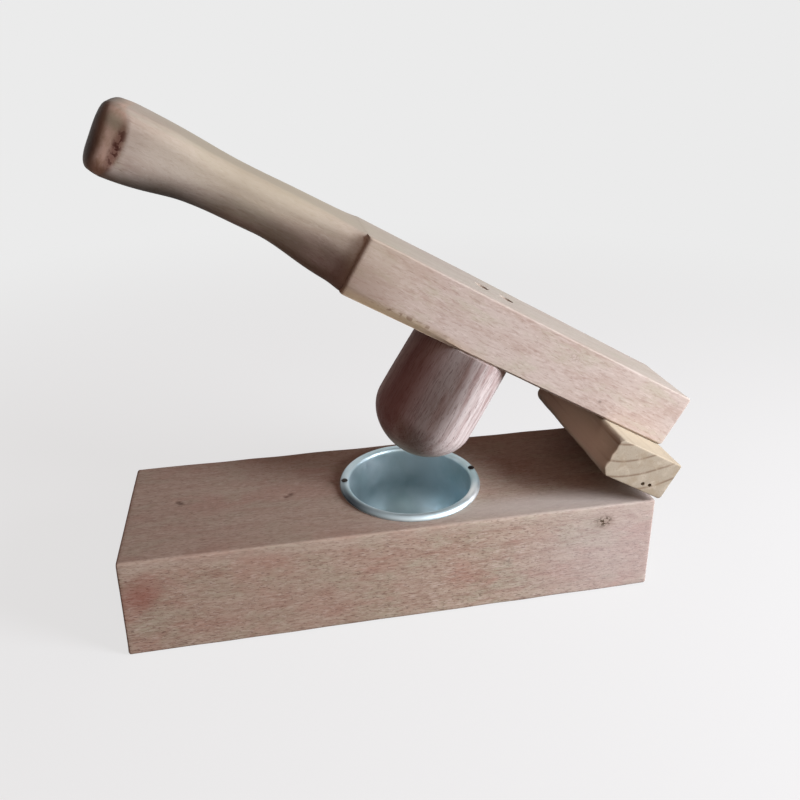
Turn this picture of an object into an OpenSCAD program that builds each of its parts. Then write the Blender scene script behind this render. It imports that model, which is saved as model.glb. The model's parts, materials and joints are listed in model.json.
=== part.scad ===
// Lever press for pastry cups, in millimetres.
// A hardwood block holds an aluminium cup. A one-piece lever, hinged at the end
// of the block over a pine riser, pushes a round-nosed plunger into the cup.
// Origin: centre of the block's underside. +X runs to the hinge, +Z is up.
// Everything on the lever is drawn with the press closed, then turned open.

/* [Base block] */
// Length of the block, from the handle side to the hinge side
base_l = 266; // [240:1:300]
// Width of the block
base_w = 86; // [82:1:110]
// Height of the block
base_h = 52; // [48:1:60]
// How far the sharp corners of the block are planed off
base_ease = 1.2; // [0.5:0.1:2]

/* [Cup] */
// Inside diameter of the cup
cup_d = 65; // [62:0.5:68]
// Depth of the cup below the top of its rim
cup_depth = 48; // [46:0.5:50]
// Thickness of the pressed sheet
cup_wall = 1; // [0.8:0.1:1.5]
// Width of the rolled rim
roll_w = 5; // [4.5:0.5:6]
// Height of the bowl-shaped part of the cup
bowl_h = 26; // [22:1:28]
// Distance from the middle of the block to the cup's axis
cup_x = 12.5; // [0:0.5:20]
// Play between the cup and its pocket
pocket_play = 0.5; // [0.3:0.1:1]

/* [Lever] */
// Angle at which the lever stands open
rest_open = 29.5; // [0:0.5:90]
// Width of the beam
beam_w = 48; // [44:1:52]
// Thickness of the beam
beam_t = 29.5; // [26:0.5:34]
// Length of the beam, from its shoulder to the hinge end
beam_l = 194; // [180:1:210]
// Length of the carved handle beyond the shoulder
handle_l = 122; // [100:1:150]
// Width of the handle's broad end
knob_w = 45.5; // [40:0.5:48]
// Thickness of the handle's broad end
knob_t = 31; // [28:0.1:32]
// Width of the handle's waist
waist_w = 33.5; // [28:0.5:36]
// Thickness of the wood left at the waist
waist_t = 25; // [22:0.1:27]
// Distance from the shoulder back to the waist
waist_x = 60; // [45:1:65]
// How far the top of the handle is hollowed at the waist
waist_dip = 0.8; // [0:0.1:1]
// Width of the lower chamfers of the beam at its shoulder
chamfer_w = 4; // [2:0.5:6]
// Distance over which those chamfers run out
chamfer_l = 90; // [60:1:110]

/* [Riser block] */
// Length of the riser along the beam
riser_l = 40; // [34:1:50]
// Length of the riser across the block
riser_w = 91; // [80:1:110]
// Height of the riser
riser_h = 21; // [19:1:30]

/* [Plunger] */
// Largest diameter of the plunger
plunger_d = 53.5; // [48:0.5:56]
// Diameter of the plunger where it meets the beam
plunger_top_d = 51.5; // [46:0.5:54]
// Length of the plunger below the beam
plunger_l = 65; // [58:1:65]
// Length of its rounded nose
nose_l = 23; // [16:1:27]
// How much nearer the hinge the plunger's axis is than the cup's
plunger_shift = 2.5; // [0:0.5:3]

/* [Hinge] */
// Length of the hinge along its pin
leaf_l = 50; // [40:1:60]
// Height of each leaf from the pin's axis
leaf_h = 18; // [16:1:19]
// Thickness of each leaf
leaf_t = 1.3; // [1:0.1:1.6]
// Diameter of the hinge pin
pin_d = 3.2; // [2.5:0.1:4]
// Gap between neighbouring knuckles
knuckle_gap = 0.3; // [0.2:0.1:0.5]

/* [Fasteners] */
// Shank diameter of the screws through the beam and the riser
screw_d = 4; // [3.5:0.1:4.5]
// Shank diameter of the hinge screws
leaf_screw_d = 3; // [2.5:0.1:3.5]
// Shank diameter of the rim nails
nail_d = 1.8; // [1.4:0.1:2]
// Length of the plunger screws
plunger_screw_l = 65; // [55:1:68]
// Length of the riser screws
riser_screw_l = 38; // [30:1:42]
// Length of the hinge screws
leaf_screw_l = 16; // [12:1:18]
// Length of the rim nails
nail_l = 16; // [12:1:20]

/* [Hidden] */
$fn = 96;

// Radial play round a screw, a nail or the pin
fit_play = 0.05;
// Length by which a cutting tool runs past the face that it enters
over = 1;

// The block, and the pin's axis just outside the top edge of its end
base_end = base_l / 2;
knuckle_r = pin_d / 2 + fit_play + leaf_t;
pin_x = base_end + knuckle_r;
pin_z = base_h;

// Heights of the closed press
beam_under = base_h + riser_h;
beam_top = beam_under + beam_t;
shoulder_x = base_end - beam_l;

// The cup, and the directions of its two rim nails round its axis
nail_turns = [174, 5];
cup_r = cup_d / 2;
roll_r = roll_w / 2;
roll_x = cup_r + roll_r;
cup_inner_z = base_h + roll_r - cup_depth;
cup_outer_z = cup_inner_z - cup_wall;
bowl_top = cup_inner_z + bowl_h;
bowl_power = 2.3;
pocket_r = cup_r + cup_wall + pocket_play;
nail_head_d = 3.4;
nail_head_h = 0.9;
bowl_steps = 24;
roll_steps = 16;
dome_steps = 6;

// The carved handle. Distances along it are measured from the shoulder.
knob_round = 14.5;
knob_straight = 18;
// Upper and lower corner radii at the knob, the waist and the shoulder
knob_corners = [5, 9];
waist_corners = [7, 15];
shoulder_corners = [4, 18];
shoulder_step = 1.7;
face_drop = 0.1;
dip_reach = 45;
scoop_start = 113;
scoop_deep = 78;
scoop_rise = 44;
scoop_end = 6;
tip_half_w = 4;
facet_l = 8;
facet_slope = 0.42;
tip_top_drop = 10.5;
tip_low_drop = 4;
tip_power = 1.75;
tip_flat = 0.5;
tip_slant = 0.08;
knob_bow = 5;
bow_end = 88;
handle_in = 2;
ring_steps = 7;
end_rings = 8;
body_rings = 26;

// Eased arrises: the beam's and its shoulder's, and the riser's worn and sharp ones
beam_ease = 1;
beam_end_ease = 0.5;
shoulder_round = 1.5;
riser_worn = 3.5;
riser_sharp = 1;
ease_steps = 4;

// Fasteners of the beam and the riser
screw_head_d = 8;
screw_sink = 1.5;
plunger_screw_gap = 15;
riser_screw_gap = 28;
riser_screw_inset = 10;
screw_tip_r = 0.2;
// Two nail holes from the riser's earlier use: distances from its hinge end and foot
old_nails = [[14.5, 4.1], [10.5, 4.9]];
old_nail_d = 2;
old_nail_depth = 8;

// The plunger swings in on an arc, so its axis is off the cup's on the hinge side.
// Its nose is a superellipse, a little slimmer than a circle's.
plunger_x = cup_x + plunger_shift;
nose_power = 1.9;
nose_steps = 18;
belly_steps = 8;

// Hinge leaves
knuckle_count = 5;
knuckle_l = leaf_l / knuckle_count;
leaf_screw_head_d = 6;
leaf_screw_step = 17;
leaf_screw_low = 13;
leaf_screw_high = 9;
notch_play = 0.4;
hinge_ease = 1.8;

// Points on an arc round [x, y] in equal steps
function arc(x, y, r, from, to, steps) =
    [for (i = [0:steps]) let (a = from + (to - from) * i / steps)
        [x + r * cos(a), y + r * sin(a)]];

// Rectangle with four corner radii, from the lower left, anticlockwise
function eased_rect(x0, y0, x1, y1, r) = concat(
    arc(x0 + r[0], y0 + r[0], r[0], 180, 270, ease_steps),
    arc(x1 - r[1], y0 + r[1], r[1], 270, 360, ease_steps),
    arc(x1 - r[2], y1 - r[2], r[2], 0, 90, ease_steps),
    arc(x0 + r[3], y1 - r[3], r[3], 90, 180, ease_steps));

// Smooth rise from 0 to 1 as x goes from a to b
function ease_step(a, b, x) =
    let (t = min(max((x - a) / (b - a), 0), 1)) t * t * (3 - 2 * t);

function mix(a, b, t) = a + (b - a) * t;

// Turns what is drawn closed to the angle at which the lever stands open
module stand_open() {
    translate([pin_x, 0, pin_z]) rotate([0, rest_open, 0])
        translate([-pin_x, 0, -pin_z]) children();
}

// Countersunk wood screw along -Z, with the top of its head at the origin
module wood_screw(d, head_d, length) {
    head_h = (head_d - d) / 2;
    tip_l = 2 * d;
    slot_w = head_d / 6;
    difference() {
        union() {
            translate([0, 0, -head_h]) cylinder(r1 = d / 2, r2 = head_d / 2, h = head_h);
            translate([0, 0, tip_l - length]) cylinder(r = d / 2, h = length - tip_l - head_h);
            translate([0, 0, -length]) cylinder(r1 = screw_tip_r, r2 = d / 2, h = tip_l);
        }
        for (turn = [0, 90]) rotate([0, 0, turn])
            translate([-head_d / 4, -slot_w / 2, -head_h / 2]) cube([head_d / 2, slot_w, head_h]);
    }
}

// Hole for that screw, with a sunk seat and an entry of the head's own width
module screw_hole(d, head_d, length, entry) {
    r = d / 2 + fit_play;
    seat_h = (head_d - d) / 2;
    translate([0, 0, -length - fit_play]) cylinder(r = r, h = length + fit_play);
    translate([0, 0, -seat_h]) cylinder(r1 = r, r2 = head_d / 2 + fit_play, h = seat_h);
    cylinder(r = head_d / 2 + fit_play, h = entry);
}

// Where each screw and nail goes: at its head's top, pointing down -Z

module at_plunger_screw(side) {
    translate([plunger_x + side * plunger_screw_gap / 2, 0, beam_top - screw_sink]) children();
}

module at_riser_screw(side) {
    translate([base_end - riser_l + riser_screw_inset, side * riser_screw_gap / 2, base_h + screw_sink])
        rotate([180, 0, 0]) children();
}

// Hinge screws 1 to 3 run along -X from the leaf's outer face
module at_leaf_screw(number, up) {
    drop = number == 2 ? leaf_screw_high : leaf_screw_low;
    translate([base_end + leaf_t, (number - 2) * leaf_screw_step, pin_z + up * drop])
        rotate([0, 90, 0]) children();
}

module at_rim_nail(turn) {
    translate([cup_x, 0, base_h + roll_r]) rotate([0, 0, turn])
        translate([roll_x, 0, 0]) children();
}

// Block planed on all faces, with its corners eased
module base_block() {
    color("rosybrown") difference() {
        intersection() {
            rotate([90, 0, 0]) linear_extrude(base_w, center = true)
                polygon(eased_rect(-base_end, 0, base_end, base_h,
                    [base_ease, base_ease, hinge_ease, base_ease]));
            rotate([90, 0, 90]) linear_extrude(base_l, center = true)
                polygon(eased_rect(-base_w / 2, 0, base_w / 2, base_h,
                    [base_ease, base_ease, base_ease, base_ease]));
        }
        translate([cup_x, 0, cup_outer_z]) cylinder(r = pocket_r, h = base_h);
        for (turn = nail_turns) at_rim_nail(turn)
            translate([0, 0, -nail_l - fit_play]) cylinder(r = nail_d / 2 + fit_play, h = nail_l);
        for (number = [1:3]) at_leaf_screw(number, -1)
            screw_hole(leaf_screw_d, leaf_screw_head_d, leaf_screw_l, over);
    }
}

// Half section of the cup's sheet on one side, offset outwards by t
function cup_side(t) = concat(
    [for (i = [0:bowl_steps]) let (a = 90 * i / bowl_steps)
        [(cup_r + t) * pow(sin(a), 2 / bowl_power),
         bowl_top - (bowl_h + t) * pow(cos(a), 2 / bowl_power)]],
    arc(roll_x, base_h, roll_r - t, 180, 0, roll_steps));

function reversed(list) = [for (i = [len(list) - 1:-1:0]) list[i]];

// Bowl, straight wall and a half-round rolled rim in one sheet
module mold_cup() {
    color("lightsteelblue") difference() {
        translate([cup_x, 0, 0]) rotate_extrude()
            polygon(concat(cup_side(0), reversed(cup_side(cup_wall))));
        for (turn = nail_turns) at_rim_nail(turn)
            translate([0, 0, -roll_r]) cylinder(r = nail_d / 2 + fit_play, h = roll_w);
    }
}

// Round-headed nail, driven until its head lies on the rolled rim
module rim_nail(turn) {
    dome = [for (i = [0:dome_steps]) let (a = 90 * i / dome_steps)
        [nail_head_d / 2 * cos(a), nail_head_h * sin(a)]];
    color("dimgray") at_rim_nail(turn) rotate_extrude()
        polygon(concat([[0, -nail_l], [nail_d / 2, nail_d - nail_l], [nail_d / 2, 0]], dome));
}

// The handle is drawn from the shoulder at x = 0 towards its end at -handle_l.
// Heights are measured from the middle of the beam's thickness.

// Plan of the knob's end: 1 at the arris where it begins, 0 at the tip. Behind the
// arris a flat facet turns in at a steady slope, and the rest rounds over.
function end_round(x) =
    let (d = min(max(knob_round - handle_l - x, 0), knob_round),
         bend = max(0, (d - facet_l) / (knob_round - facet_l)),
         span = knob_w / 2 - tip_half_w,
         curl = (span - facet_slope * knob_round) * (1 - sqrt(max(0, 1 - bend * bend))))
    1 - (facet_slope * d + curl) / span;

// 0 at the knob and at the shoulder, 1 at the waist
function waisted(x) = x < -waist_x
    ? ease_step(knob_straight - handle_l, -waist_x, x)
    : 1 - pow(min(max(1 + x / waist_x, 0), 1), 3);

function handle_half_w(x) =
    let (broad = x < -waist_x ? knob_w / 2 : beam_w / 2 - shoulder_step)
    mix(broad, waist_w / 2, waisted(x)) - (knob_w / 2 - tip_half_w) * (1 - end_round(x));

// Half the thickness without the hollows, a little less than the beam's
function handle_half_t(x) = mix(knob_t / 2, beam_t / 2 - face_drop, ease_step(-waist_x, 0, x));

// The top keeps the plank's face, but for a shallow hollow at the waist
function handle_top(x) =
    let (u = min(1, abs(x + waist_x) / dip_reach))
    handle_half_t(x) - waist_dip * (1 + cos(180 * u)) / 2
        - tip_top_drop * pow(1 - end_round(x), tip_power);

// The underside is scooped out over a longer reach, down to the waist's thickness
function handle_bottom(x) =
    let (scoop = x < -waist_x
        ? ease_step(-scoop_start, -scoop_deep, x)
        : 1 - ease_step(-scoop_rise, -scoop_end, x))
    (knob_t - waist_t - waist_dip) * scoop - handle_half_t(x)
        + tip_low_drop * pow(1 - end_round(x), tip_power);

// How far a point of the knob lies off its ring's plane. Its arris bows towards the
// hinge at mid height, and its end leans back from the top down.
function knob_shift(x, z) =
    let (start = knob_round - handle_l, tip = 1 - ease_step(-handle_l, start, x),
         bow = (1 - tip) * (1 - ease_step(start, -bow_end, x)))
    knob_bow * bow * (0.5 - pow(2 * z / knob_t, 2)) - tip_slant * tip * z;

// One ring of the handle at x, rounded more below than above
function handle_ring(x) =
    let (w = handle_half_w(x), top = handle_top(x), bottom = handle_bottom(x),
         corners = mix(x < -waist_x ? knob_corners : shoulder_corners, waist_corners, waisted(x)),
         upper = min(corners[0], w - tip_flat, (top - bottom) / 2 - tip_flat),
         lower = min(corners[1], w - tip_flat, top - bottom - upper - tip_flat))
    [for (p = concat(
        arc(-w + lower, bottom + lower, lower, 180, 270, ring_steps),
        arc(w - lower, bottom + lower, lower, 270, 360, ring_steps),
        arc(w - upper, top - upper, upper, 0, 90, ring_steps),
        arc(-w + upper, top - upper, upper, 90, 180, ring_steps)))
        [x + knob_shift(x, p[1]), p[0], p[1]]];

// Stations along the handle, closer together where its end rounds over
function handle_stations() = concat(
    [for (i = [0:end_rings - 1]) knob_round * (1 - cos(90 * i / end_rings)) - handle_l],
    [for (i = [0:body_rings]) mix(knob_round - handle_l, handle_in, i / body_rings)]);

// Solid skinned over a list of rings of equal length, closed at both ends
module loft(rings) {
    n = len(rings[0]);
    last = len(rings) - 1;
    points = [for (ring = rings) each ring];
    walls = [for (k = [0:last - 1]) for (i = [0:n - 1]) let (j = (i + 1) % n)
        [k * n + i, (k + 1) * n + i, (k + 1) * n + j, k * n + j]];
    first_cap = [[for (i = [0:n - 1]) i]];
    last_cap = [[for (i = [n - 1:-1:0]) last * n + i]];
    polyhedron(points, concat(walls, first_cap, last_cap), convexity = 4);
}

// Beam with eased arrises. A chamfer on each lower arris starts at the shoulder
// and runs out to nothing: one plane through the run-out point on the arris.
module beam() {
    slope = chamfer_w / chamfer_l;
    lean = acos(-1 / norm([slope, 1, 1]));
    cutter_l = 2 * beam_l;
    difference() {
        intersection() {
            translate([shoulder_x, 0, 0]) rotate([90, 0, 90]) linear_extrude(beam_l)
                polygon(eased_rect(-beam_w / 2, beam_under, beam_w / 2, beam_top,
                    [beam_ease, beam_ease, beam_ease, beam_ease]));
            translate([0, 0, beam_under]) linear_extrude(beam_t)
                polygon(eased_rect(shoulder_x, -beam_w / 2, base_end, beam_w / 2,
                    [shoulder_round, beam_end_ease, beam_end_ease, shoulder_round]));
        }
        for (side = [0, 1]) mirror([0, side, 0])
            translate([shoulder_x + chamfer_l, beam_w / 2, beam_under])
                rotate([0, lean, atan2(1, -slope)])
                    translate([-cutter_l / 2, -cutter_l / 2, 0])
                        cube([cutter_l, cutter_l, beam_w / 2]);
    }
}

module lever() {
    color("burlywood") stand_open() difference() {
        union() {
            beam();
            translate([shoulder_x, 0, beam_under + beam_t / 2])
                loft([for (x = handle_stations()) handle_ring(x)]);
        }
        for (side = [-1, 1]) at_plunger_screw(side)
            screw_hole(screw_d, screw_head_d, plunger_screw_l, screw_sink + over);
        for (side = [-1, 1]) at_riser_screw(side)
            screw_hole(screw_d, screw_head_d, riser_screw_l, over);
    }
}

// Turned plunger: a slight belly, then a round nose
module plunger() {
    straight_l = plunger_l - nose_l;
    belly = [for (i = [0:belly_steps]) let (t = i / belly_steps)
        [mix(plunger_top_d, plunger_d, sin(90 * t)) / 2, -straight_l * t]];
    nose = [for (i = [1:nose_steps]) let (a = 90 * i / nose_steps)
        [plunger_d / 2 * pow(cos(a), 2 / nose_power),
         -straight_l - nose_l * pow(sin(a), 2 / nose_power)]];
    color("sienna") stand_open() difference() {
        translate([plunger_x, 0, beam_under]) rotate_extrude()
            polygon(concat([[0, 0]], belly, nose));
        for (side = [-1, 1]) at_plunger_screw(side)
            screw_hole(screw_d, screw_head_d, plunger_screw_l, over);
    }
}

// Sawn pine offcut with worn corners, lying across the block under the beam
module riser_block() {
    color("wheat") stand_open() difference() {
        rotate([90, 0, 0]) linear_extrude(riser_w, center = true)
            polygon(eased_rect(base_end - riser_l, base_h, base_end, beam_under,
                [riser_worn, hinge_ease, riser_sharp, riser_worn]));
        for (side = [-1, 1]) at_riser_screw(side)
            screw_hole(screw_d, screw_head_d, riser_screw_l, screw_sink + over);
        for (number = [1:3]) at_leaf_screw(number, 1)
            screw_hole(leaf_screw_d, leaf_screw_head_d, leaf_screw_l, over);
        for (hole = old_nails)
            translate([base_end - hole[0], -riser_w / 2 - over, base_h + hole[1]])
                rotate([-90, 0, 0]) cylinder(d = old_nail_d, h = old_nail_depth + over);
    }
}

// Half of a butt hinge. up is 1 for the lever's leaf and -1 for the block's.
module hinge_leaf(up, knuckles) {
    notch = knuckle_r + notch_play;
    difference() {
        union() {
            translate([base_end, -leaf_l / 2, up > 0 ? pin_z + notch : pin_z - leaf_h])
                cube([leaf_t, leaf_l, leaf_h - notch]);
            for (k = knuckles) translate([0, (k - (knuckle_count - 1) / 2) * knuckle_l, 0]) {
                translate([pin_x, 0, pin_z]) rotate([90, 0, 0])
                    cylinder(r = knuckle_r, h = knuckle_l - knuckle_gap, center = true);
                translate([base_end, -(knuckle_l - knuckle_gap) / 2, up > 0 ? pin_z : pin_z - notch])
                    cube([leaf_t, knuckle_l - knuckle_gap, notch]);
            }
        }
        translate([pin_x, 0, pin_z]) rotate([90, 0, 0])
            cylinder(r = pin_d / 2 + fit_play, h = leaf_l + over, center = true);
        for (number = [1:3]) at_leaf_screw(number, up)
            screw_hole(leaf_screw_d, leaf_screw_head_d, leaf_screw_l, over);
    }
}

module hinge_leaf_base() {
    color("silver") hinge_leaf(-1, [0, 2, 4]);
}

module hinge_leaf_lever() {
    color("silver") stand_open() hinge_leaf(1, [1, 3]);
}

module hinge_pin() {
    color("gray") translate([pin_x, 0, pin_z]) rotate([90, 0, 0])
        cylinder(d = pin_d, h = leaf_l, center = true);
}

module leaf_screw(number, up) {
    color("gray") at_leaf_screw(number, up)
        wood_screw(leaf_screw_d, leaf_screw_head_d, leaf_screw_l);
}

module plunger_screw(side) {
    color("gray") stand_open() at_plunger_screw(side)
        wood_screw(screw_d, screw_head_d, plunger_screw_l);
}

module riser_screw(side) {
    color("gray") stand_open() at_riser_screw(side)
        wood_screw(screw_d, screw_head_d, riser_screw_l);
}

base_block();
mold_cup();
rim_nail(nail_turns[0]);  // cup_nail_left
rim_nail(nail_turns[1]);  // cup_nail_right
hinge_leaf_base();
hinge_pin();
for (number = [1:3])
    leaf_screw(number, -1);
lever();
plunger();
plunger_screw(-1);  // plunger_screw_front
plunger_screw(1);  // plunger_screw_rear
riser_block();
riser_screw(-1);  // riser_screw_near
riser_screw(1);  // riser_screw_far
hinge_leaf_lever();
for (number = [1:3])
    stand_open() leaf_screw(number, 1);
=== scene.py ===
"""The looks of a lever press for pastry cups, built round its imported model.

Lengths are millimetres unless a name says metres, and skin() writes the meshes
in metres. Pieces of the lever are worked out with the press closed, as they were
made, and turned open about the hinge pin just before they become meshes.
"""
import json
import math

import bpy
import numpy as np
from mathutils import Euler, Matrix, Vector


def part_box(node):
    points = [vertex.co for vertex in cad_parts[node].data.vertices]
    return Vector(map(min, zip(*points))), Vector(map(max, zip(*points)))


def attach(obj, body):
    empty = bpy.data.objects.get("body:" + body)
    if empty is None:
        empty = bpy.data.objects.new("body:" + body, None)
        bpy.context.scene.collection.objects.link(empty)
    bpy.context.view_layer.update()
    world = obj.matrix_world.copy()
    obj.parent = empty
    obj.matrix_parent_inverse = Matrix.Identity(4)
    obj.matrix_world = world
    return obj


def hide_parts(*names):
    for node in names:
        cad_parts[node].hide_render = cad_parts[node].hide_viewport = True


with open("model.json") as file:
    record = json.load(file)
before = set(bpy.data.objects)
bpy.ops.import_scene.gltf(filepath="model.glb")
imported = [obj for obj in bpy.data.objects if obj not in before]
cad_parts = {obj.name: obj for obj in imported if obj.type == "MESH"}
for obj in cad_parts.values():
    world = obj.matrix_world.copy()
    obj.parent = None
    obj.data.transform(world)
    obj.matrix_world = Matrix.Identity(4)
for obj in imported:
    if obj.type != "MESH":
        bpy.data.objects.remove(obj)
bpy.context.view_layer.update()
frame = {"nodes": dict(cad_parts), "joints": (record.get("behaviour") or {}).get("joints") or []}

MM = 0.001
TAU = 2 * math.pi

# The frame: the block's corners, the pin's axis, and how far the lever stands open
block_low, block_high = (np.array(corner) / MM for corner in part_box("base_block"))
cup_low, cup_high = (np.array(corner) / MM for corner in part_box("mold_cup"))
hinge = frame["joints"][0]
pin = np.array(hinge["pos_m"]) / MM
rest_open = -math.radians(hinge["range_deg"][0])
block_front = block_low[1]
block_end = block_high[0]
block_top = block_high[2]
cup_x = (cup_low[0] + cup_high[0]) / 2

# The lever, closed
beam_w = 48
beam_t = 29.5
beam_l = 194
handle_l = 122
riser_l = 40
riser_w = 91
riser_h = 21
beam_under = block_top + riser_h
beam_top = beam_under + beam_t
beam_mid = beam_under + beam_t / 2
shoulder_x = block_end - beam_l
plunger_x = cup_x + 2.5
plunger_l = 65
screw_head_r = 4.05


# Numbers and meshes

def mix(a, b, t):
    return a + (b - a) * t


def ease(a, b, x):
    """Smooth rise from 0 to 1 as x goes from a to b."""
    t = np.clip((x - a) / (b - a), 0, 1)
    return t * t * (3 - 2 * t)


def bell(x, centre, width):
    """Gaussian hump of height 1."""
    return np.exp(-((x - centre) / width) ** 2)


def ripple(points, length, seed, waves=7):
    """Soft unevenness from -1 to 1: the mean of plane cosine waves in seeded random
    directions, with wavelengths from 0.7 to 1.6 times length."""
    draw = np.random.default_rng(seed)
    way = draw.normal(size=(waves, 3))
    way /= np.linalg.norm(way, axis=1)[:, None]
    way *= TAU / (length * draw.uniform(0.7, 1.6, waves))[:, None]
    return np.cos(points @ way.T + draw.uniform(0, TAU, waves)).mean(-1)


def inward(rings, depth):
    """Moves a ring grid in along its normals, which are the cross product of the steps
    along and around it, turned so that they point away from its middle."""
    along = np.gradient(rings, axis=0)
    around = np.roll(rings, -1, axis=1) - np.roll(rings, 1, axis=1)
    normal = np.cross(around, along)
    normal /= np.maximum(np.linalg.norm(normal, axis=2), 1e-9)[..., None]
    sign = np.sign((normal * (rings - rings.mean((0, 1)))).sum())
    return rings - sign * normal * depth[..., None]


def turn_open(points):
    """Points of the closed lever, turned by rest_open about the pin's axis."""
    x, z = points[..., 0] - pin[0], points[..., 2] - pin[2]
    c, s = math.cos(rest_open), math.sin(rest_open)
    return np.stack([pin[0] + x * c + z * s, points[..., 1], pin[2] - x * s + z * c], -1)


def link_new(name, data):
    """New object in the scene, for a mesh, a lamp or the camera."""
    thing = bpy.data.objects.new(name, data)
    bpy.context.scene.collection.objects.link(thing)
    return thing


def skin(name, rings, marks=None, sharp=35):
    """Closed mesh over rings of equal length, with a pole in the middle of the first
    and the last. marks holds values per grid point, kept as point attributes."""
    rows, around = rings.shape[:2]
    points = np.concatenate([rings[:1].mean(1), rings.reshape(-1, 3), rings[-1:].mean(1)])
    i = 1 + np.arange(rows * around).reshape(rows, around)
    j = np.roll(i, -1, axis=1)
    walls = np.stack([i[:-1], j[:-1], j[1:], i[1:]], -1).reshape(-1, 4)
    last = np.full(around, len(points) - 1)
    caps = np.concatenate([np.stack([0 * last, j[0], i[0]], -1),
                           np.stack([last, i[-1], j[-1]], -1)])
    a, b, c, d = (points[walls[:, k]] for k in range(4))
    volume = (np.cross(b - a, c - a) * a).sum() + (np.cross(c - a, d - a) * a).sum()
    if volume < 0:
        walls, caps = walls[:, ::-1], caps[:, ::-1]
    mesh = bpy.data.meshes.new(name)
    mesh.from_pydata((points * MM).tolist(), [], walls.tolist() + caps.tolist())
    for mark, grid in (marks or {}).items():
        grid = np.broadcast_to(grid, (rows, around))
        values = np.concatenate([[grid[0].mean()], grid.ravel(), [grid[-1].mean()]])
        attribute = mesh.attributes.new(mark, "FLOAT", "POINT")
        attribute.data.foreach_set("value", values.astype(np.float32))
    mesh.polygons.foreach_set("use_smooth", np.ones(len(mesh.polygons), bool))
    mesh.set_sharp_from_angle(angle=math.radians(sharp))
    return link_new(name, mesh)


def lever_hole(start, end, r):
    """Hole for drilled(), between two points of the closed lever."""
    return (*turn_open(np.array([start, end])), r)


def drilled(piece, holes, sharp=35):
    """Takes round holes out of a piece: each hole is a cylinder of radius r from point
    a to point b."""
    for number, (a, b, r) in enumerate(holes):
        a, b = np.array(a, float), np.array(b, float)
        way = (b - a) / np.linalg.norm(b - a)
        side = np.cross(way, [0, 1, 0] if abs(way[1]) < 0.9 else [1, 0, 0])
        side /= np.linalg.norm(side)
        turn = np.linspace(0, TAU, 96 if r > 10 else 32, endpoint=False)[:, None]
        circle = r * (np.cos(turn) * side + np.sin(turn) * np.cross(way, side))
        bit = skin(f"bit_{number}", np.stack([a + circle, b + circle]))
        cut = piece.modifiers.new("hole", "BOOLEAN")
        cut.object, cut.operation, cut.solver = bit, "DIFFERENCE", "EXACT"
        bpy.context.view_layer.update()
        depsgraph = bpy.context.evaluated_depsgraph_get()
        bored = bpy.data.meshes.new_from_object(piece.evaluated_get(depsgraph))
        piece.modifiers.clear()
        piece.data = bored
        bpy.data.objects.remove(bit)
    piece.data.set_sharp_from_angle(angle=math.radians(sharp))
    return piece


def loop(half, low, high, radii, flats=(0, 0, 0, 0), lift=1, wide=14, tall=10, bend=6):
    """Rectangle with rounded corners in (y, z), for every station at once. It starts
    at the lower left corner and runs anticlockwise. radii are the four corner radii,
    and the lower two are lift times as tall; a flat of 1 makes a straight chamfer.
    wide and tall count the points between corners, bend those in a corner."""
    half, low, high = (np.asarray(v, float).reshape(-1, 1) for v in (half, low, high))
    ys, zs = [], []
    for corner, (side, edge) in enumerate([(-1, low), (1, low), (1, high), (-1, high)]):
        r = np.asarray(radii[corner], float).reshape(-1, 1)
        flat = np.asarray(flats[corner], float).reshape(-1, 1)
        a = math.pi + corner * math.pi / 2 + np.linspace(0, math.pi / 2, bend)
        share = np.linspace(0, 1, bend)
        rise = r * lift if corner < 2 else r
        y0, z0 = side * (half - r), edge + (rise if corner < 2 else -rise)
        y = mix(np.cos(a), mix(math.cos(a[0]), math.cos(a[-1]), share), flat)
        z = mix(np.sin(a), mix(math.sin(a[0]), math.sin(a[-1]), share), flat)
        ys.append(y0 + r * y)
        zs.append(z0 + rise * z)
    y, z = [], []
    for corner, count in enumerate((wide, tall, wide, tall)):
        share = np.arange(1, count + 1) / (count + 1)
        after = (corner + 1) % 4
        y += [ys[corner], mix(ys[corner][:, -1:], ys[after][:, :1], share)]
        z += [zs[corner], mix(zs[corner][:, -1:], zs[after][:, :1], share)]
    return np.concatenate(y, 1), np.concatenate(z, 1)


def bar_stations(start, end, step, rounding, steps=5):
    """Places along a bar, and how far in from its outline each is, from 0 to 1: a
    quarter circle at each end."""
    a = np.linspace(0, math.pi / 2, steps)
    x = np.linspace(start + rounding, end - rounding, int((end - start) / step))
    place = np.concatenate([start + rounding * (1 - np.sin(a[::-1])), x[1:-1],
                            end - rounding * (1 - np.sin(a))])
    return place, np.concatenate([1 - np.cos(a[::-1]), 0 * x[1:-1], 1 - np.cos(a)])


def with_faces(rings):
    """Adds smaller copies of the first and last ring, so that each end face has a grid."""
    shares = np.array([0.3, 0.65, 0.9])[:, None, None]
    first = mix(rings[0].mean(0), rings[0], shares)
    last = mix(rings[-1].mean(0), rings[-1], shares[::-1])
    return np.concatenate([first, rings, last])


def along_x(x):
    return np.stack([x, 0 * x, 0 * x], -1)


# The block: planed hardwood, its arrises rubbed off unevenly

# Dents in its top: place and half width. All but the last have dirt in them.
dents = [((-108.6, 4.2), 1.3), ((-107, 2.6), 0.9), ((-53.8, -1.2), 1.4), ((-51.4, 0.6), 1.1),
         ((71, 18), 1.2)]


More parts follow.
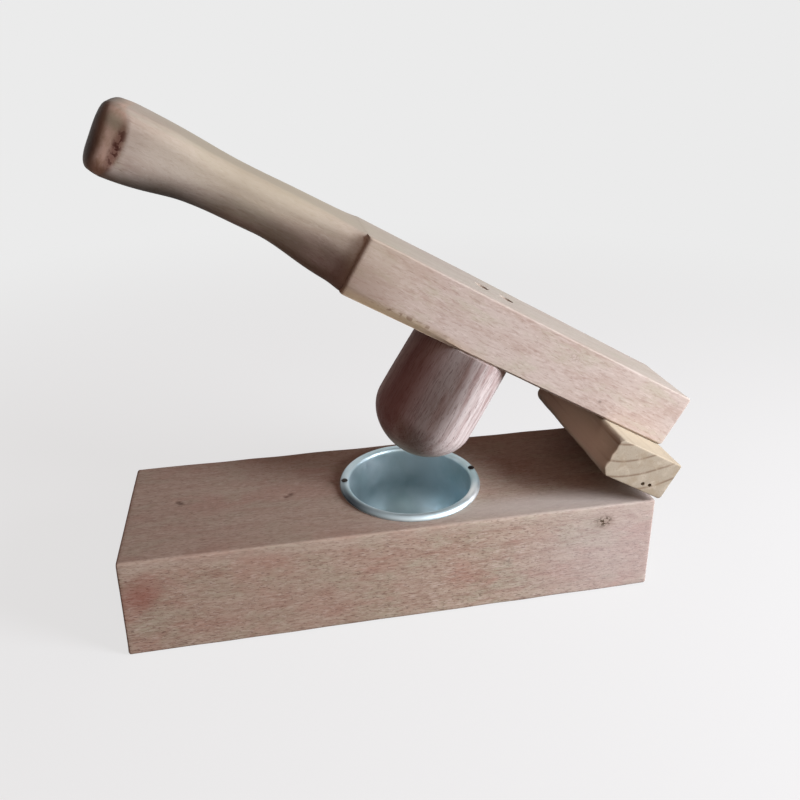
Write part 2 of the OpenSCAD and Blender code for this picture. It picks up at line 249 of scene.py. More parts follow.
def make_block():
    """Bar with arrises of slowly varying radius. Its faces sink by soft waves, but for
    the underside that it stands on, and small bell-shaped dents mark the top."""
    ease_r, dent_depth, pocket_r = 1.2, 0.55, 34
    x, inset = bar_stations(block_low[0], block_end, 1.5, ease_r)
    worn = [ease_r * (1.25 + 0.5 * ripple(along_x(x), 30, seed)) for seed in (1, 2, 3, 4)]
    y, z = loop(block_high[1] - ease_r * inset, block_low[2] + ease_r * inset,
                block_top - ease_r * inset, worn, wide=64, tall=26)
    rings = with_faces(np.stack([np.broadcast_to(x[:, None], y.shape), y, z], -1))
    sag = 0.14 * (1 + ripple(rings, 60, 5)) + 0.05 * (1 + ripple(rings, 14, 6))
    sag *= ease(0, 6, rings[..., 2])
    upper = ease(block_top - 1, block_top - 0.5, rings[..., 2])
    for (dent_x, dent_y), width in dents:
        sag += (dent_depth * upper * bell(rings[..., 0], dent_x, width)
                * bell(rings[..., 1], dent_y, width))
    piece = skin("block_planed", inward(rings, sag))
    return drilled(piece, [((cup_x, 0, cup_low[2]), (cup_x, 0, block_top + 5), pocket_r)])


# The lever: beam and handle carved from one plank

# The handle: knob_round is how long the knob's end takes to close, waist_x how far the
# waist lies from the shoulder, and shoulder_step how far the beam stands out from it.
knob_w = 45.5
knob_t = 31
knob_round = 14
waist_x = 60
waist_w = 33.5
waist_t = 26
waist_dip = 0.8
shoulder_step = 1.7


def handle_outline(x):
    """Half width, top, bottom and the lower, far upper and near upper corner radii of
    the handle at x from the shoulder. In plan the knob's end is a flat facet of steady
    slope that rounds over by a quarter ellipse, and its top and underside close there
    by a power of that slope. The waist's sides and underside are hollowed by smooth
    steps, its top dips by a cosine, and its sides flare to the shoulder by a cube."""
    facet_l, slope, span = 8, 0.42, knob_w / 2 - 4
    close_top, close_under, power, dip_l = 11.2, 4, 1.75, 45
    knob_scoop, shoulder_scoop = (-112, -76), (-44, -8)
    # Lower, far upper and near upper corner, each at the knob, the shoulder and the waist
    corner_radii = [(8, 5, 15), (5, 2.5, 7), (7, 5, 8)]
    back = np.clip(knob_round - handle_l - x, 0, knob_round)
    bend = np.clip((back - facet_l) / (knob_round - facet_l), 0, 1)
    curl = (span - slope * knob_round) * (1 - np.sqrt(1 - bend ** 2))
    end = 1 - (slope * back + curl) / span
    at_knob = x < -waist_x
    flare = np.clip(1 + x / waist_x, 0, 1) ** 3
    waisted = np.where(at_knob, ease(18 - handle_l, -waist_x, x), 1 - flare)
    broad = np.where(at_knob, knob_w / 2, beam_w / 2 - shoulder_step)
    half = mix(broad, waist_w / 2, waisted) - span * (1 - end)
    thick = mix(knob_t / 2, beam_t / 2 - 0.1, ease(-waist_x, 0, x))
    dip = waist_dip * (1 + np.cos(math.pi * np.clip(np.abs(x + waist_x) / dip_l, 0, 1))) / 2
    scoop = np.where(at_knob, ease(*knob_scoop, x), 1 - ease(*shoulder_scoop, x))
    top = thick - dip - close_top * (1 - end) ** power
    bottom = (knob_t - waist_t - waist_dip) * scoop - thick + close_under * (1 - end) ** power
    lower, upper, near = (mix(np.where(at_knob, knob, shoulder), waist, waisted)
                          for knob, shoulder, waist in corner_radii)
    room = (top - bottom) / 2
    upper, near = (np.minimum(np.minimum(r, half - 0.5), room - 0.5) for r in (upper, near))
    lower = np.minimum(np.minimum(lower, half - 0.5), 2 * room - near - 0.5)
    return half, top, bottom, lower, upper, near


def make_lever():
    """Rings from the knob's tip to the shoulder, then the beam's, whose lower corners
    are tallest there and run out along it, the near one as a chamfer. The knob's arris
    bows towards the hinge at mid height, by a parabola, its end leans, and its top
    rises towards the near side. The handle's far side widens until it is flush with
    the beam. Its near side is pared in by quarter sines: on the lower half from the
    shoulder to the knob, and as a small cove next to the shoulder. The whole surface
    sinks by soft waves."""
    pared_in, pared_l, cove_in, cove_l = 3.4, 15, 1.3, 7
    bow_by, lean = 5, 0.08
    corner_r, chamfer_lift, chamfer_l = 1.1, 4.1, 65
    start = knob_round - handle_l
    tip = knob_round * (1 - np.cos(np.linspace(0, math.pi / 2, 16))) - handle_l
    x = np.concatenate([tip, np.linspace(start, 0, 80)[1:]])
    half, top, bottom, lower, upper, near = handle_outline(x)
    y, z = loop(half, bottom, top, [lower, lower, upper, near], wide=12, tall=8, bend=14)
    x, half, top = x[:, None], half[:, None], top[:, None]
    raised = ease(-handle_l, start, x) * (1 - ease(-95, -75, x))
    z = z + raised * (0.4 - 0.6 * y / half) * np.clip(z / top, 0, 1)
    y = y + shoulder_step * ease(-40, 0, x) * np.clip(y / half, 0, 1)
    pared = pared_in * np.sin(math.pi / 2 * np.clip(-x / pared_l, 0, 1))
    pared *= 1 - 0.4 * ease(-pared_l, -waist_x, x)
    pared *= 1 - ease(-waist_x, -100, x)
    cove = cove_in * np.sin(math.pi / 2 * np.clip(-x / cove_l, 0, 1)) * (1 - ease(-12, -50, x))
    y = y + (pared * ease(5, -8, z) + cove) * np.clip(-y / half, 0, 1)
    at_tip = 1 - ease(-handle_l, start, x)
    bow = (1 - at_tip) * (1 - ease(start, -88, x))
    leaning = x + bow_by * bow * (0.5 - (2 * z / knob_t) ** 2) - lean * at_tip * z
    handle = np.stack([leaning, y, z], -1)

    bx, inset = bar_stations(0, beam_l, 2, 2.5, steps=9)
    at_shoulder = bx < beam_l / 2
    side_in, top_in = (inset * np.where(at_shoulder, by, 0.8) for by in (2, 0.1))
    lift = 1 + chamfer_lift * np.clip(1 - bx / chamfer_l, 0, 1)
    worn_upper = [corner_r + 0.35 * ripple(along_x(bx), 25, seed) for seed in (11, 12)]
    y, z = loop(beam_w / 2 - side_in, 0.8 * inset - beam_t / 2, beam_t / 2 - top_in,
                [corner_r, corner_r, *worn_upper], [0.9, 0, 0, 0], lift[:, None],
                wide=12, tall=8, bend=14)
    beam = np.stack([np.broadcast_to(bx[:, None], y.shape), y, z], -1)
    rings = with_faces(np.concatenate([handle, beam]))
    carved = 1 - ease(-6, 0, rings[..., 0])
    sag = 0.1 * (1 + ripple(rings, 45, 15)) + 0.04 * (1 + ripple(rings, 12, 16))
    sag += carved * 0.18 * (1 + ripple(rings, 26, 17))
    stations = with_faces(np.concatenate([x[:, 0], bx])[:, None, None])[..., 0]
    end_grain = 1 - ease(start - 1.2, start + 0.2, stations)
    rings = inward(rings, sag) + [shoulder_x, 0, beam_mid]
    piece = skin("lever_carved", turn_open(rings), {"end_grain": end_grain})
    screw_places = (plunger_x - 7.5, plunger_x + 7.5)
    return drilled(piece, [lever_hole((at, 0, beam_top - 1.5), (at, 0, beam_top + 4), screw_head_r)
                           for at in screw_places])


# The plunger: turned, with a slight belly and a round nose

def make_plunger():
    """Profile turned about the plunger's axis: the radius grows by a sine to the full
    width, and the nose is a superellipse. The tool left it a little out of round."""
    nose_l, top_r, full_r, power = 23, 25.75, 26.75, 1.9
    straight_l = plunger_l - nose_l
    t = np.linspace(0, 1, 26)
    belly_r, belly_z = mix(top_r, full_r, np.sin(t * math.pi / 2)), -straight_l * t
    a = np.linspace(0, math.pi / 2, 40)[1:-1]
    nose_r = full_r * np.cos(a) ** (2 / power)
    nose_z = -straight_l - nose_l * np.sin(a) ** (2 / power)
    rim = np.array([[18, 0], [top_r - 0.7, 0], [top_r - 0.1, -0.3]])
    r = np.concatenate([rim[:, 0], belly_r[1:], nose_r])[:, None]
    z = np.concatenate([rim[:, 1], belly_z[1:], nose_z])[:, None]
    turn = np.linspace(0, TAU, 128, endpoint=False)
    rings = np.stack([r * np.cos(turn), r * np.sin(turn), z + 0 * turn], -1)
    sag = 0.12 * (1 + ripple(rings, 24, 21)) * ease(0, -4, rings[..., 2])
    rings = inward(rings, sag) + [plunger_x, 0, beam_under]
    return skin("plunger_turned", turn_open(rings))


# The riser: a sawn pine offcut, grain across the block

# Two old nail holes in its near end: distance from the block's end, and height
old_nails = [(14.5, 4.1), (10.5, 4.9)]


def make_riser():
    """Bar along Y with uneven arrises, worn most along the lower one towards the cup.
    That side is torn by short waves where the saw left the near end."""
    ease_r, nail_r, screw_in, screw_y = 0.7, 1.05, 30, 14
    y, inset = bar_stations(-riser_w / 2, riser_w / 2, 1.2, ease_r)
    low = 3.6 + 0.7 * ripple(along_x(y), 16, 31)
    high = 1.9 + 0.6 * ripple(along_x(y), 9, 32)
    x, z = loop(riser_l / 2 - ease_r * inset, ease_r * inset, riser_h - ease_r * inset,
                [low, 1.8, 1.0, high], [0.5, 0, 0, 0.6], wide=26, tall=18)
    rings = with_faces(np.stack([x, np.broadcast_to(y[:, None], x.shape), z], -1))
    sag = 0.08 * (1 + ripple(rings, 25, 33)) + 0.07 * (1 + ripple(rings, 5, 34))
    rings = inward(rings, sag)
    torn = ease(-14, -20, rings[..., 0]) * ease(2 - riser_w / 2, -riser_w / 2, rings[..., 1])
    rings[..., 0] += torn * (0.7 + 1.6 * ripple(rings, 5, 36))
    rings += [block_end - riser_l / 2, 0, block_top]
    piece = skin("riser_sawn", turn_open(rings))
    holes = [lever_hole((block_end - across, 6 - riser_w / 2, block_top + up),
                        (block_end - across, -riser_w, block_top + up), nail_r)
             for across, up in old_nails]
    holes += [lever_hole((block_end - screw_in, at, block_top + 1.5),
                         (block_end - screw_in, at, block_top - 4), screw_head_r)
              for at in (-screw_y, screw_y)]
    return drilled(piece, holes)


# The cup: pressed aluminium, its rim rolled into a bead

def make_cup():
    """Half section turned about the cup's axis: superellipse bowl, straight wall, and
    the bead as half a circle, at the inner face and again at the outer. The bead's
    outer side is marked for painted shade towards the handle, by a bell shape round it."""
    r_in, wall, bead, bowl_h, power = 32.5, 1, 2.5, 26, 2.3
    shade_turn, shade_width = 3.55, 0.65
    bottom = cup_low[2] + wall
    a = np.linspace(0.02, math.pi / 2, 44)
    curl = np.linspace(math.pi, 0, 24)
    middle = r_in + bead

    def face(t, roll):
        bowl = np.stack([(r_in + t) * np.sin(a) ** (2 / power),
                         bottom + bowl_h - (bowl_h + t) * np.cos(a) ** (2 / power)], -1)
        rise = np.linspace(bottom + bowl_h, block_top, 12)[1:-1]
        wall_line = np.stack([r_in + t + 0 * rise, rise], -1)
        rolled = np.stack([middle + roll * np.cos(curl), block_top + roll * np.sin(curl)], -1)
        return np.concatenate([bowl, wall_line, rolled])

    profile = np.concatenate([face(0, bead), face(wall, bead - wall)[::-1]])
    turn = np.linspace(0, TAU, 160, endpoint=False)
    r, z = profile[:, :1], profile[:, 1:]
    rings = np.stack([r * np.cos(turn) + cup_x, r * np.sin(turn), z + 0 * turn], -1)
    outer = ease(-0.9, 0.6, (r - middle) / bead) * (z > block_top)
    # painted shade on the bead's outer side, strongest towards the handle
    bead_shade = outer * bell(turn, shade_turn, shade_width)
    return skin("cup_pressed", rings, {"bead_shade": bead_shade}, sharp=60)


# Materials

def linear(code):
    """sRGB hex colour as linear RGBA."""
    parts = [int(code[i:i + 2], 16) / 255 for i in (1, 3, 5)]
    return (*[p / 12.92 if p <= 0.04045 else ((p + 0.055) / 1.055) ** 2.4 for p in parts], 1)


def add(tree, kind, out=0, inputs=None, **settings):
    """One node with its settings and links, as its output. An input is a value, or
    another node's output to link from."""
    node = tree.nodes.new("ShaderNode" + kind)
    for key, value in settings.items():
        setattr(node, key, value)
    for key, value in (inputs or {}).items():
        if isinstance(value, bpy.types.NodeSocket):
            tree.links.new(value, node.inputs[key])
        else:
            node.inputs[key].default_value = value
    return node.outputs[out] if node.outputs else None


def new_material(name):
    material = bpy.data.materials.new(name)
    material.use_nodes = True
    material.node_tree.nodes.clear()
    return material, material.node_tree


def closed_place(tree, on_lever):
    """Object coordinates in millimetres, for the lever's pieces turned back closed."""
    turn = -rest_open if on_lever else 0
    c, s = math.cos(turn), math.sin(turn)
    back = (pin[0] - (pin[0] * c + pin[2] * s), 0, pin[2] - (-pin[0] * s + pin[2] * c))
    place = add(tree, "TexCoord", "Object")
    return add(tree, "Mapping", 0, {"Vector": place, "Scale": (1 / MM,) * 3,
                                    "Rotation": (0, turn, 0), "Location": back})


def spotted(tree, place, colour, spots):
    """Lays soft ellipsoids over a colour: centre, half sizes, colour, share, and the
    size of the fine noise that breaks it up, or 0."""
    for centre, size, code, share, speck in spots:
        off = add(tree, "VectorMath", 0, {0: place, 1: centre}, operation="SUBTRACT")
        off = add(tree, "VectorMath", 0, {0: off, 1: size}, operation="DIVIDE")
        off = add(tree, "VectorMath", "Value", {0: off}, operation="LENGTH")
        spot = add(tree, "MapRange", 0, {"Value": off, "From Min": 1.0, "From Max": 0.15,
                                         "To Max": share}, interpolation_type="SMOOTHSTEP")
        if speck:
            broken = add(tree, "TexNoise", 0, {"Vector": place, "Scale": 1 / speck, "Detail": 2.0})
            broken = add(tree, "MapRange", 0, {"Value": broken, "From Min": 0.5, "From Max": 0.55})
            spot = add(tree, "Math", 0, {0: spot, 1: broken}, operation="MULTIPLY")
        colour = add(tree, "Mix", 2, {0: spot, 6: colour, 7: linear(code)}, data_type="RGBA")
    return colour


def wood(name, on_lever, axis, pale, rings, layers, spots=(), cut=None, rough=0.62, relief=0.3):
    """Wood of one pale colour, overlaid in turn. rings: growth rings that darken slowly
    and end sharply, as colour, spacing, a point on the pith's line, sway, share, and the
    phase where the dark begins. layers: noise stretched along the grain, as colour,
    sizes along and across it, detail, the values where it begins and is full, share,
    and depth. cut: two colours of the knob's end grain."""
    material, tree = new_material(name)
    place = closed_place(tree, on_lever)
    code, gap, pith, sway, share, start = rings
    across_grain = [float(k != axis) for k in range(3)]
    sway_scale = [1 / 150 if k == axis else 1 / 40 for k in range(3)]
    wave = add(tree, "Mapping", 0, {"Vector": place, "Scale": sway_scale})
    wave = add(tree, "TexNoise", 0, {"Vector": wave, "Scale": 1.0, "Detail": 3.0})
    radial = add(tree, "VectorMath", 0, {0: place, 1: pith}, operation="SUBTRACT")
    radial = add(tree, "VectorMath", 0, {0: radial, 1: across_grain}, operation="MULTIPLY")
    radius = add(tree, "VectorMath", "Value", {0: radial}, operation="LENGTH")
    radius = add(tree, "Math", 0, {0: wave, 1: sway, 2: radius}, operation="MULTIPLY_ADD")
    phase = add(tree, "Math", 0, {0: radius, 1: 1 / gap}, operation="MULTIPLY")
    phase = add(tree, "Math", 0, {0: phase}, operation="FRACT")
    late = add(tree, "MapRange", 0, {"Value": phase, "From Min": start, "From Max": 0.93,
                                     "To Max": share}, interpolation_type="SMOOTHSTEP")
    ends = add(tree, "MapRange", 0, {"Value": phase, "From Min": 1.0, "From Max": 0.92})
    late = add(tree, "Math", 0, {0: late, 1: ends}, operation="MULTIPLY")
    colour = add(tree, "Mix", 2, {0: late, 6: linear(pale), 7: linear(code)}, data_type="RGBA")

    height = add(tree, "Math", 0, {0: late, 1: 0.3}, operation="MULTIPLY")
    for number, (code, along, across, detail, low, high, share, sunk) in enumerate(layers):
        scale = [1 / along if k == axis else 1 / across for k in range(3)]
        shift = [7.3 * number + 3.1, 11.7 * number, 5.9 * number]
        grain = add(tree, "Mapping", 0, {"Vector": place, "Scale": scale, "Location": shift})
        grain = add(tree, "TexNoise", 0, {"Vector": grain, "Scale": 1.0, "Detail": detail,
                                          "Roughness": 0.6, "Distortion": 0.3})
        mask = add(tree, "MapRange", 0, {"Value": grain, "From Min": low, "From Max": high,
                                         "To Max": share}, interpolation_type="SMOOTHSTEP")
        colour = add(tree, "Mix", 2, {0: mask, 6: colour, 7: linear(code)}, data_type="RGBA")
        if sunk:
            height = add(tree, "Math", 0, {0: mask, 1: -sunk, 2: height}, operation="MULTIPLY_ADD")

    if cut:
        end_share = add(tree, "Attribute", "Fac", attribute_name="end_grain")
        torn = add(tree, "Mapping", 0, {"Vector": place, "Scale": (0.22, 0.3, 0.16)})
        torn = add(tree, "TexNoise", 0, {"Vector": torn, "Scale": 1.0, "Detail": 5.0,
                                         "Roughness": 0.65})
        torn = add(tree, "MapRange", 0, {"Value": torn, "From Min": 0.42, "From Max": 0.6})
        end_colour = add(tree, "Mix", 2, {0: torn, 6: linear(cut[0]), 7: linear(cut[1])},
                         data_type="RGBA")
        colour = add(tree, "Mix", 2, {0: end_share, 6: colour, 7: end_colour}, data_type="RGBA")

    colour = spotted(tree, place, colour, spots)
    uneven = add(tree, "MapRange", 0, {"Value": wave, "From Min": 0.3, "From Max": 0.7,
                                       "To Min": rough - 0.06, "To Max": rough + 0.06})
    normal = add(tree, "Bump", 0, {"Height": height, "Strength": relief, "Distance": 0.3 * MM})
    shader = add(tree, "BsdfPrincipled", 0, {"Base Color": colour, "Roughness": uneven,
                                             "Normal": normal, "Specular IOR Level": 0.06})
    add(tree, "OutputMaterial", 0, {"Surface": shader})
    return material


def metal(name, codes, rough, along, across, haze=20.0, spots=(), bead_shade=None):
    """Metal whose colour drifts between two tones, in clouds of the size haze. Fine
    lines, of the sizes along and across Y, vary its roughness. The last argument is a
    colour of painted shade, laid where the piece's point attribute of the same name is 1."""
    material, tree = new_material(name)
    place = closed_place(tree, False)
    cloud = add(tree, "TexNoise", 0, {"Vector": place, "Scale": 1 / haze, "Detail": 4.0})
    cloud = add(tree, "MapRange", 0, {"Value": cloud, "From Min": 0.35, "From Max": 0.68},
                interpolation_type="SMOOTHSTEP")
    colour = add(tree, "Mix", 2, {0: cloud, 6: linear(codes[0]), 7: linear(codes[1])},
                 data_type="RGBA")
    colour = spotted(tree, place, colour, spots)
    # painted shade, laid by the piece's point attribute
    if bead_shade:
        share = add(tree, "Attribute", "Fac", attribute_name="bead_shade")
        colour = add(tree, "Mix", 2, {0: share, 6: colour, 7: linear(bead_shade)}, data_type="RGBA")
    lines = add(tree, "Mapping", 0, {"Vector": place, "Scale": (1 / across, 1 / along, 1 / across)})
    lines = add(tree, "TexNoise", 0, {"Vector": lines, "Scale": 1.0, "Detail": 3.0})
    shine = add(tree, "MapRange", 0, {"Value": lines, "From Min": 0.3, "From Max": 0.7,
                                      "To Min": rough - 0.05, "To Max": rough + 0.05})
    shader = add(tree, "BsdfPrincipled", 0, {"Base Color": colour, "Metallic": 1.0,
                                             "Roughness": shine})
    add(tree, "OutputMaterial", 0, {"Surface": shader})
    return material


# Open-pored tropical hardwood, planed and left bare: a matt grey-brown, mottled red
# and grey, with fine fibres and short dark dashes where the plane cut pores
# lengthwise. The real pores are 0.2 mm wide, and are drawn twice that so that they
# show. Its spots in order: painted shade darkening the top; the front's upper edge
# paler, partly rubbed pale and partly painted light, and painted light on the top
# towards the hinge; painted light making the front paler and greyer to the right, and
# painted shade making it darker and browner to the left; a small knot and the wood
# round it, a red stain, a scar, and dirt in the dents.
block_wood = wood(
    "planed hardwood", on_lever=False, axis=0, pale="#B2A08F", rough=0.66,
    rings=("#927566", 8.5, (0, -95, -60), 26, 0.25, 0.3),
    layers=[
        ("#A67C6E", 42, 20, 4, 0.44, 0.64, 0.56, 0),
        ("#A7A38E", 26, 14, 4, 0.46, 0.64, 0.55, 0),
        ("#8A685B", 11, 2.2, 3, 0.44, 0.7, 0.45, 0.4),
        ("#80604F", 4, 0.9, 3, 0.46, 0.72, 0.5, 0.6),
        ("#D2C2B6", 4, 0.9, 2, 0.48, 0.72, 0.4, -0.3),
        ("#5C4036", 2.4, 0.5, 1, 0.56, 0.68, 0.6, 1.0)],
    # painted shade: the whole top a little darker
    spots=[((0, 0, block_top), (600, 400, 1.3), "#AA9A8C", 0.4, 0),
           # partly rubbed pale, partly painted light: the front's upper edge paler
           ((0, block_front, block_top - 2.5), (400, 3, 6), "#BDAFA0", 0.35, 0),
           # painted light: the top paler near its front towards the hinge
           ((85, block_front + 9, block_top), (130, 15, 1.6), "#C8C4BC", 0.55, 0),
           # painted light making the front paler and greyer to the right, and painted shade making
           # it darker and browner to the left
           ((126, block_front, 24), (95, 30, 60), "#BDB1AE", 0.45, 0),
           ((-60, block_front, 24), (110, 30, 60), "#A08878", 0.3, 0),
           ((105.3, block_front, 42.7), (6, 4, 4.6), "#1F1812", 1.0, 1.7),
           ((105, block_front, 42.2), (9, 4, 6), "#7A6653", 0.35, 0),
           ((-124, block_front, 34), (14, 5, 14), "#8A4E42", 0.5, 0),
           ((54.4, block_front, 25.5), (4, 3, 3.5), "#7E726A", 0.5, 1.2)]
    + [((x, y, block_top), (2.2, 2.0, 3), "#4E372E", 0.6, 0) for (x, y), _ in dents[:-1]])

# The same kind of wood from a paler plank. Its spots in order: painted sheen making
# the top greyer; the handle even where hands hold it, and yellow on its upper half,
# partly its own tone and partly painted light on the lit half, grey beside the knob, and
# painted shade at the flare; the beam's yellower start, and painted shade under the
# handle; the chamfer's worn edge and its specks of dirt; painted sheen on the corner
# atop the knob's end, a torn patch in two tones, and painted shade on the knob's end
# where it turns from the light; and two small marks on the beam's side.
lever_wood = wood(
    "carved hardwood", on_lever=True, axis=0, pale="#BCAEA4", rough=0.55,
    rings=("#A08878", 9, (0, 70, 160), 30, 0.2, 0.3),
    layers=[
        ("#A68E82", 36, 12, 4, 0.44, 0.68, 0.4, 0),
        ("#B2AB98", 24, 10, 4, 0.48, 0.7, 0.6, 0),
        ("#8C7064", 6, 1.3, 3, 0.46, 0.74, 0.42, 0.5),
        ("#D2C6BE", 4, 0.9, 2, 0.48, 0.74, 0.4, 0),
        ("#7A5F53", 3.0, 0.42, 1, 0.6, 0.74, 0.35, 0.8)],
    cut=("#D2B6A6", "#B69884"),
    # painted sheen: the lever's top greyer
    spots=[((shoulder_x, 0, beam_top), (600, 60, 1.4), "#A9AA9C", 0.45, 0),
           # partly the wood's own tone, partly painted light: the handle's lit upper half yellow
           ((shoulder_x - 50, 0, beam_mid + 13), (104, 60, 27), "#ADA48E", 0.8, 0),
           ((shoulder_x - 88, -22, beam_mid + 2), (34, 10, 16), "#AFA698", 0.5, 0),
           # painted shade: darker at the flare by the shoulder
           ((shoulder_x - 12, -20, beam_mid - 7), (50, 30, 19), "#62463E", 0.65, 0),
           ((shoulder_x + 4, -beam_w / 2, beam_mid), (50, 6, 40), "#A8947E", 0.3, 0),
           # painted shade: dark under the handle by the knob
           ((shoulder_x - 82, -20, beam_mid - 12), (36, 30, 15), "#3E352B", 0.9, 0),
           ((shoulder_x + 28, -beam_w / 2, beam_under + 1), (60, 4, 5), "#A8926C", 0.6, 0),
           ((shoulder_x + 34, -beam_w / 2, beam_under + 3.6), (34, 4, 1.6), "#6E5440", 0.6, 2.6),
           # painted sheen: greenish grey on the corner atop the knob's end
           ((shoulder_x - 113, -19, beam_mid + 9), (8, 9, 5), "#A8A08C", 0.8, 0),
           ((shoulder_x - 108.6, -21, beam_mid), (3.4, 6, 16), "#6A362A", 0.65, 0),
           ((shoulder_x - 108.4, -21, beam_mid), (3.2, 6, 15), "#42140E", 0.8, 3.0),
           # painted shade: the knob's end darkened where it turns from the light
           ((shoulder_x - 121, -21, beam_mid - 8), (10, 16, 18), "#1A100C", 1.0, 0),
           ((shoulder_x - 125, 0, beam_mid), (13, 300, 300), "#1A100C", 1.0, 0),
           ((59.7, -beam_w / 2, 94.7), (5, 3, 3), "#8E7F70", 0.5, 1.0),
           ((85.8, -beam_w / 2, 80.2), (1.6, 2, 1.2), "#6A5A50", 0.6, 0)])

# Redder heartwood, turned along the grain, so its rings and fibres run down the side.
# Its spots in order: a red streak and a dark one, both painted shade towards the left, and painted
# light reflected from the cup on the nose, which makes it paler and green-grey.
plunger_wood = wood(
    "turned hardwood", on_lever=True, axis=2, pale="#CCC2BE", rough=0.6,
    rings=("#846862", 4.5, (plunger_x + 50, 35, 0), 20, 0.3, 0.3),
    layers=[
        ("#8C6862", 40, 7, 4, 0.44, 0.68, 0.6, 0),
        ("#6C4C46", 10, 0.9, 3, 0.46, 0.75, 0.55, 0.6),
        ("#CDBDBA", 7, 0.7, 2, 0.48, 0.74, 0.45, 0),
        ("#4E322E", 4.0, 0.42, 1, 0.58, 0.72, 0.5, 1.0)],
    # painted shade: a red streak and a dark one, darker towards the left
    spots=[((plunger_x - 24, -14, beam_under - 30), (20, 20, 80), "#7E5252", 0.7, 0),
           ((plunger_x - 6, -28, beam_under - 28), (19, 20, 80), "#402C22", 0.75, 0),
           # painted light: the nose paler and green-grey, as light reflected from the cup
           ((plunger_x, 0, beam_under - plunger_l), (30, 30, 20), "#D2DCD0", 0.9, 0)])

# Pine sawn across: pale cream with a thin brown line at the end of each ring. Its
# planed top is plain, and paler with painted sheen, and painted light, as from light
# bounced off the block, makes the sawn face towards the cup paler.
riser_wood = wood(
    "sawn pine", on_lever=True, axis=1, pale="#A69B89", rough=0.68,
    rings=("#6E5743", 8.6, (79, 0, 116), 5, 0.75, 0.78),
    layers=[
        ("#9A8A73", 60, 8, 3, 0.46, 0.68, 0.5, 0),
        ("#BEB3A0", 25, 6, 3, 0.5, 0.7, 0.5, 0),
        ("#85705A", 14, 0.8, 2, 0.5, 0.78, 0.4, 0.5)],
    # plain as planed, and painted sheen: the riser's top paler
    spots=[((block_end - 20, 0, beam_under), (60, 120, 1.2), "#BFB39C", 0.9, 0),
           # painted light: the sawn face towards the cup paler, as bounced light
           ((block_end - riser_l - 1, -10, block_top + 8), (5, 60, 18), "#E4D0B8", 0.95, 0)])

# Thin aluminium, pressed and left satin: a soft blue-grey without sharp reflections.
# Its spots in order: painted reflection making the bowl darker and bluer, teal on the
# left wall, and a slate and a green tint low down; and a painted highlight on the bead's
# near side. The bead's outer side is painted darker towards the handle, as painted shade.
cup_metal = metal(
    "pressed aluminium", ("#C6D3D8", "#AFC2C6"), rough=0.5, along=6.0, across=6.0,
    # painted reflection: the bowl darker and bluer, teal on the left wall, slate and green low down
    spots=[((cup_x, 0, block_top - 22), (38, 38, 44), "#668395", 0.95, 0),
           ((cup_x - 24, -4, block_top - 16), (18, 22, 24), "#4E8490", 0.7, 0),
           ((cup_x - 10, -14, block_top - 40), (13, 10, 14), "#56707C", 0.8, 0),
           ((cup_x + 12, -16, block_top - 38), (10, 8, 9), "#488A76", 0.85, 0),
           # painted highlight: the bead's near side bright
           ((cup_x + 27, -20, block_top + 2), (14, 12, 4), "#F4F4F2", 0.8, 0)],
    # painted shade: the bead's outer side darker towards the handle
    bead_shade="#3E4348")
# Bright zinc on rolled steel, dulled by handling, and the screws darker than the hinge
hinge_metal = metal("zinc-plated steel", ("#B8B8B4", "#8E8F8E"), rough=0.38, along=25.0, across=0.4)
screw_metal = metal("screw steel", ("#8E8C86", "#5F5C58"), rough=0.42, along=4.0, across=0.4)
# Plain wire nails, brown-black with age
nail_metal = metal("wire nail", ("#3A3634", "#241F1D"), rough=0.5, along=3.0, across=0.5)


def give(piece, material):
    piece.data.materials.clear()
    piece.data.materials.append(material)


# Each piece with its body, the node it replaces, its slot and its material
made = [
    (make_block(), "base", "base_block", "base_wood", block_wood),
    (make_lever(), "lever_arm", "lever", "lever_wood", lever_wood),
    (make_plunger(), "lever_arm", "plunger", "plunger_wood", plunger_wood),
    (make_riser(), "lever_arm", "riser_block", "riser_pine", riser_wood),
    (make_cup(), "base", "mold_cup", "cup_aluminium", cup_metal),
]
for piece, body, node, slot, material in made:
    give(piece, material)
    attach(piece, body)
    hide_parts(node)

for name, node in frame["nodes"].items():
    if "nail" in name:
        give(node, nail_metal)
    elif "screw" in name:
        give(node, screw_metal)
    elif "hinge" in name:
        give(node, hinge_metal)


# Floor, light and camera

backdrop = linear("#EBEBEB")


def seen_rays(tree):
    """1 for the rays that show the backdrop: the camera's, mirrored or not, or through
    glass. 0 for those that only light a surface."""
    seen, glossy, through = (add(tree, "LightPath", f"Is {kind} Ray")
                             for kind in ("Camera", "Glossy", "Transmission"))
    seen = add(tree, "Math", 0, {0: seen, 1: glossy}, operation="ADD")
    return add(tree, "Math", 0, {0: seen, 1: through}, operation="ADD", use_clamp=True)


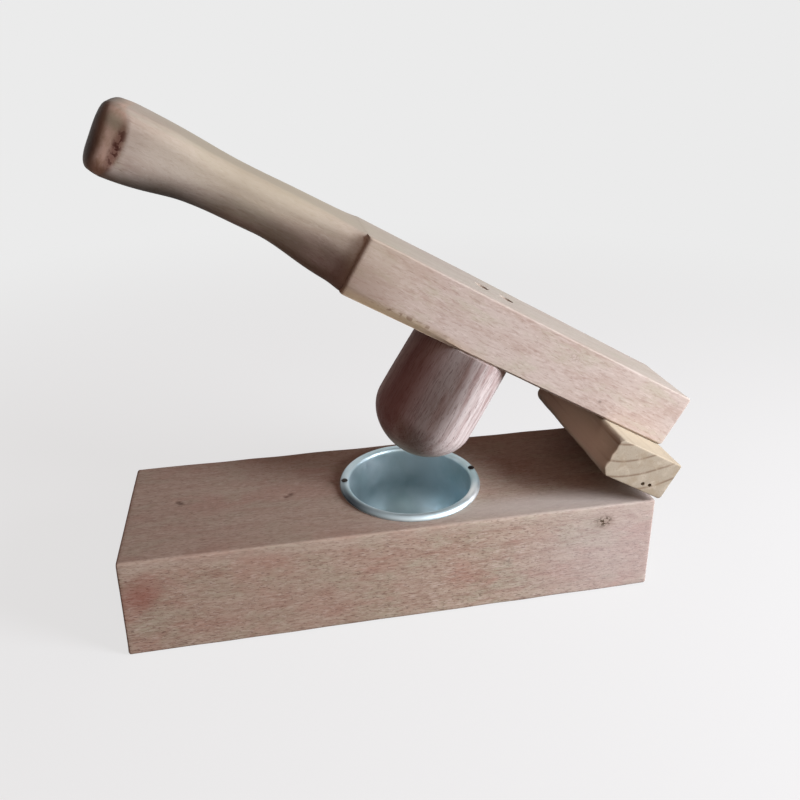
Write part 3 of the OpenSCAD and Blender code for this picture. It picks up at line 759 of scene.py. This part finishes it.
def make_floor():
    """Pale floor, in metres. Near the press the camera sees it as glow less the light
    that usually falls on it, plus a share of its real shading, which leaves a soft
    shadow; further out that share fades. To other rays it is a dull tabletop."""
    size, share, usual = 8, 0.16, 0.85
    mesh = bpy.data.meshes.new("floor")
    corners = [(-size, -size, 0), (size, -size, 0), (size, size, 0), (-size, size, 0)]
    mesh.from_pydata(corners, [], [(0, 1, 2, 3)])
    floor = link_new("floor", mesh)
    material, tree = new_material("pale floor")
    place = add(tree, "TexCoord", "Object")
    far = add(tree, "VectorMath", "Value", {0: place}, operation="LENGTH")
    near = add(tree, "MapRange", 0, {"Value": far, "From Min": 0.9, "From Max": 0.25,
                                     "To Max": share}, interpolation_type="SMOOTHSTEP")
    strength = add(tree, "Math", 0, {0: near, 1: -usual, 2: 1.0}, operation="MULTIPLY_ADD")
    glow = add(tree, "Emission", 0, {"Color": backdrop, "Strength": strength})
    white = add(tree, "BsdfDiffuse", 0, {"Color": linear("#FFFFFF")})
    none = add(tree, "BsdfDiffuse", 0, {"Color": linear("#000000")})
    white = add(tree, "MixShader", 0, {0: near, 1: none, 2: white})
    pale = add(tree, "AddShader", 0, {0: glow, 1: white})
    dull = add(tree, "BsdfDiffuse", 0, {"Color": linear("#4A4440")})
    surface = add(tree, "MixShader", 0, {0: seen_rays(tree), 1: dull, 2: pale})
    add(tree, "OutputMaterial", 0, {"Surface": surface})
    floor.data.materials.append(material)


def make_world():
    """Pale backdrop for the rays that show it, and a dim warm fill for all others."""
    world = bpy.data.worlds.new("studio")
    world.use_nodes = True
    tree = world.node_tree
    tree.nodes.clear()
    fill = add(tree, "Background", 0, {"Color": linear("#FFBCB2"), "Strength": 0.165})
    pale = add(tree, "Background", 0, {"Color": backdrop, "Strength": 1.0})
    surface = add(tree, "MixShader", 0, {0: seen_rays(tree), 1: fill, 2: pale})
    add(tree, "OutputWorld", 0, {"Surface": surface})
    bpy.context.scene.world = world


def make_lamp(name, place, wide, tall, power, code):
    """Soft oval lamp aimed at the middle of the press. Place and sizes are in metres,
    power is in watts."""
    middle = Vector((0, 0, 0.08))
    lamp = bpy.data.lights.new(name, "AREA")
    lamp.shape, lamp.size, lamp.size_y, lamp.energy = "ELLIPSE", wide, tall, power
    lamp.color = linear(code)[:3]
    thing = link_new(name, lamp)
    thing.location = place
    thing.rotation_euler = (middle - Vector(place)).to_track_quat("-Z", "Y").to_euler()


def make_camera():
    """The photograph's view. Its place in metres, angles and focal length come from the
    block's and the lever's edges and the rim's ellipse; the frame is 800 pixels wide."""
    frame_px, focal_px, middle_px = 800, 764.6, 330
    yaw, pitch, roll = 0.1932, 0.3529, -0.0042
    place = (-0.06104, -0.35001, 0.27039)
    camera = bpy.data.cameras.new("camera")
    camera.sensor_width = 36
    camera.lens = focal_px / frame_px * camera.sensor_width
    camera.shift_y = (middle_px - frame_px / 2) / frame_px
    camera.clip_start, camera.clip_end = 0.01, 50
    thing = link_new("camera", camera)
    thing.location = place
    level = Euler((math.pi / 2 - pitch, 0, -yaw)).to_matrix()
    thing.rotation_euler = (level @ Matrix.Rotation(roll, 3, "Z")).to_euler()
    bpy.context.scene.camera = thing


make_floor()
make_world()
make_lamp("key", (0.704, -0.457, 0.33), wide=0.35, tall=0.55, power=14.3, code="#F1F4FC")
make_lamp("fill", (0.05, -1.0, 0.35), wide=0.8, tall=0.8, power=1.2, code="#FFE8D0")
make_camera()
bpy.context.scene.view_settings.view_transform = "Standard"
